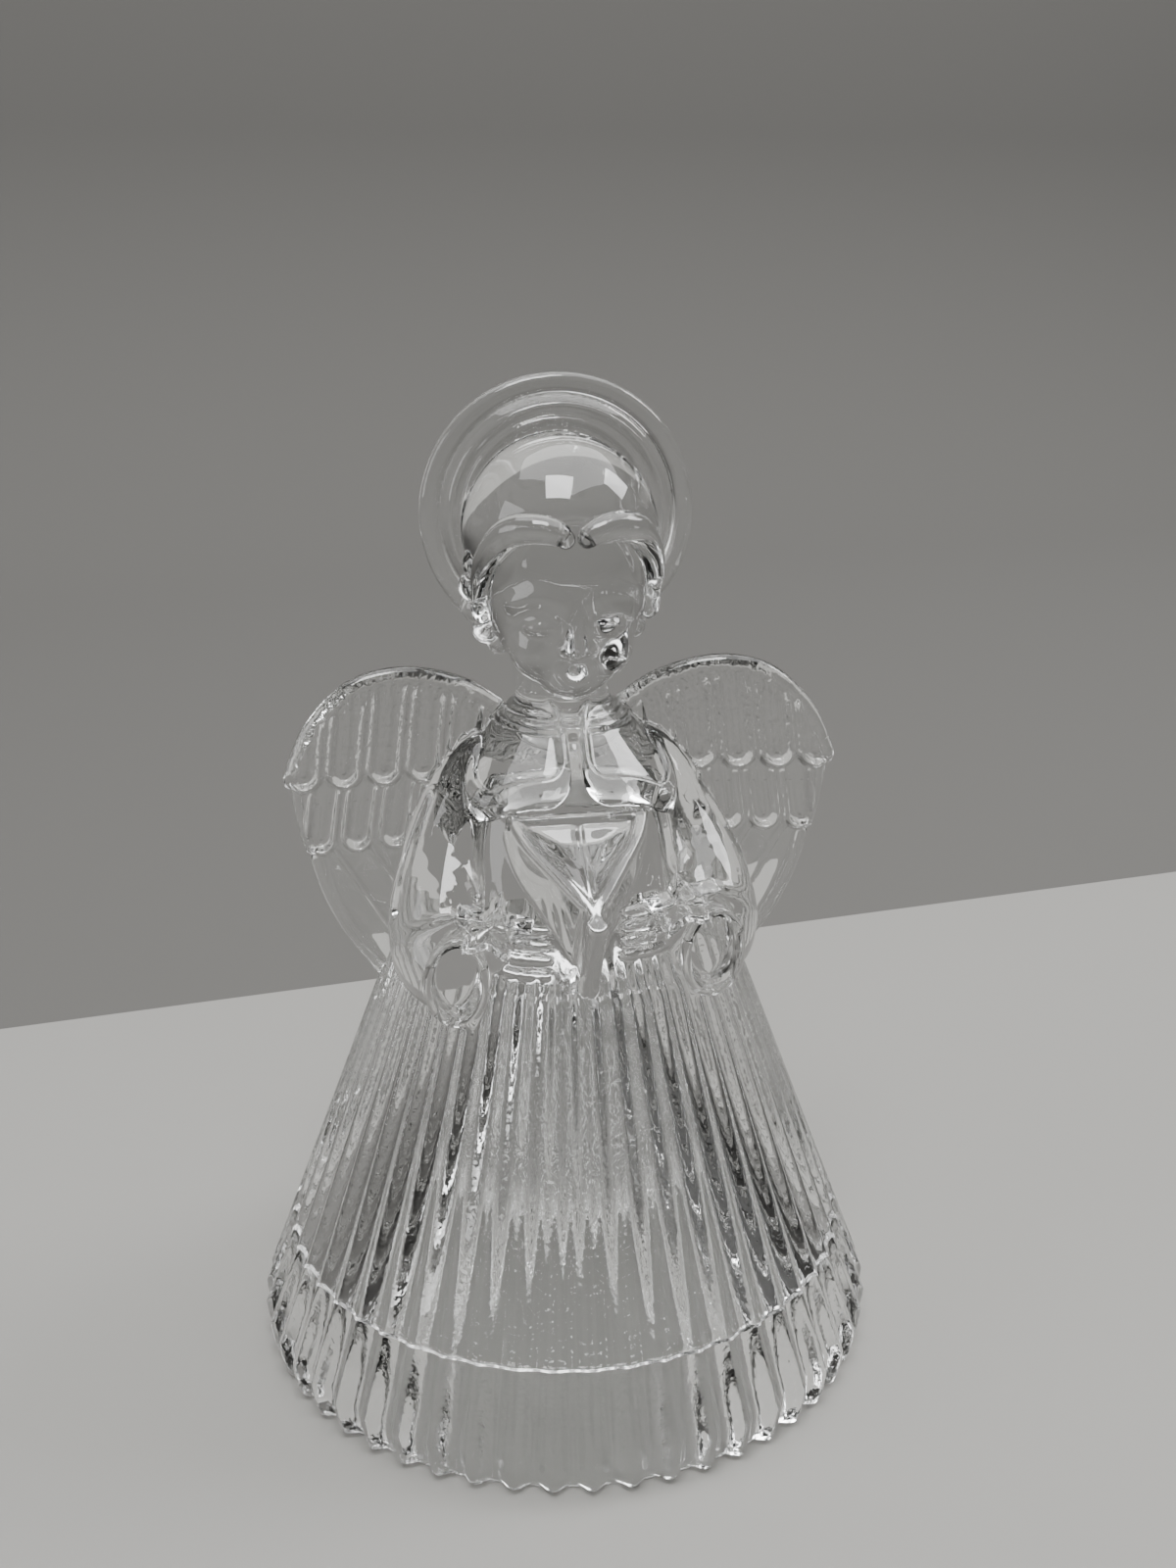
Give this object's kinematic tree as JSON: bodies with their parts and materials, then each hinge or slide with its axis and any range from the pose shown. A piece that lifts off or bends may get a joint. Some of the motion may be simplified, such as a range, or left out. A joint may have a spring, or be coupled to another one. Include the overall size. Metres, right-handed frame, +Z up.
{
  "type": "glass figurine",
  "caption": "Clear pressed-glass angel figurine holding an open book, with wings, halo and a hollow fluted skirt that it stands on.",
  "frame": {"origin": "centre of the foot ring, on the surface the figurine stands on", "axes": "+Z up along the figurine, -Y out of the figurine's face, +X to the viewer's right from the front"},
  "size_m": [0.0846, 0.0846, 0.1308],
  "materials": {
    "crystal": "clear fire-polished pressed glass"
  },
  "bodies": {
    "root": {"foot_ring": "crystal", "hem": "crystal", "skirt": "crystal", "bodice": "crystal", "neck": "crystal", "collar_band": "crystal", "collar_left": "crystal", "collar_right": "crystal", "sleeve_left": "crystal", "sleeve_right": "crystal", "cuff_left": "crystal", "cuff_right": "crystal", "star_left": "crystal", "star_right": "crystal", "hand_left": "crystal", "hand_right": "crystal", "book_pages": "crystal", "book_cover_left": "crystal", "book_cover_right": "crystal", "book_spine": "crystal", "head": "crystal", "hair": "crystal", "curls_left": "crystal", "curls_right": "crystal", "halo_disc": "crystal", "halo_ring": "crystal", "wing_rim_left": "crystal", "wing_rim_right": "crystal", "coverts_left": "crystal", "coverts_right": "crystal", "secondaries_left": "crystal", "secondaries_right": "crystal", "primaries_left": "crystal", "primaries_right": "crystal"}
  },
  "joints": []
}
